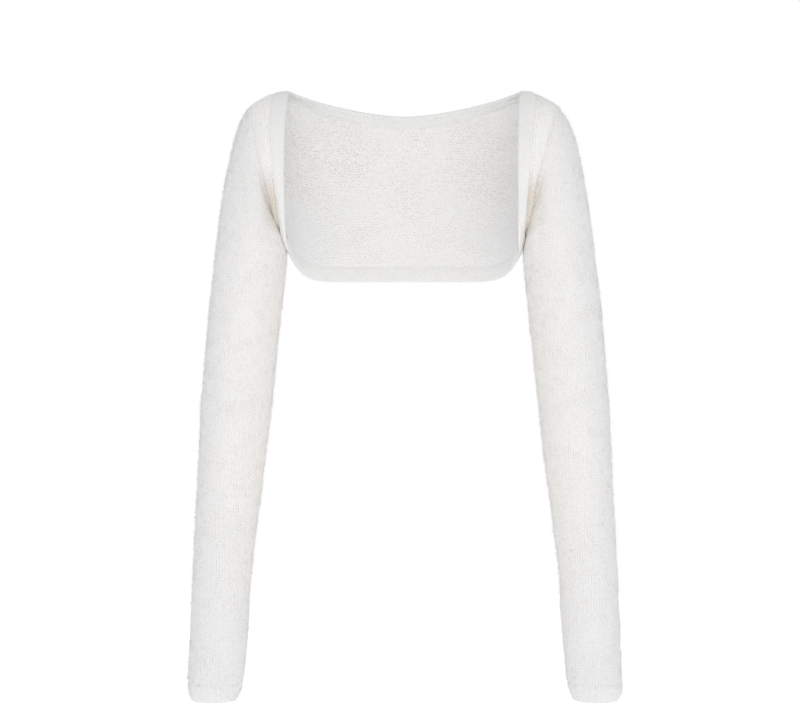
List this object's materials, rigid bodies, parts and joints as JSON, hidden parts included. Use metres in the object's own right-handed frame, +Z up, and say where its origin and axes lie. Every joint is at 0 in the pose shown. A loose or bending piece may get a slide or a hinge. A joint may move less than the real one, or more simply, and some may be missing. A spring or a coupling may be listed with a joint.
{
  "type": "bolero cardigan",
  "caption": "Cropped open-fronted knit bolero with long slim set-in sleeves and narrow edge bands, in its worn, hollow form.",
  "frame": {"origin": "middle of the wearer's shoulder line, just under the cloth", "axes": "+Z up along the hanging sleeves, -Y to the wearer's front, +X to the wearer's left"},
  "size_m": [0.4778, 0.1567, 0.666],
  "materials": {
    "fluffy_knit": "matte, brushed open knit",
    "edge_band": "matte, closer knit"
  },
  "bodies": {
    "root": {"back_panel": "fluffy_knit", "neck_band": "edge_band", "hem_band": "edge_band", "front_panel_right": "fluffy_knit", "front_band_right": "edge_band", "sleeve_right": "fluffy_knit", "cuff_right": "edge_band", "front_panel_left": "fluffy_knit", "front_band_left": "edge_band", "sleeve_left": "fluffy_knit", "cuff_left": "edge_band"}
  },
  "joints": []
}
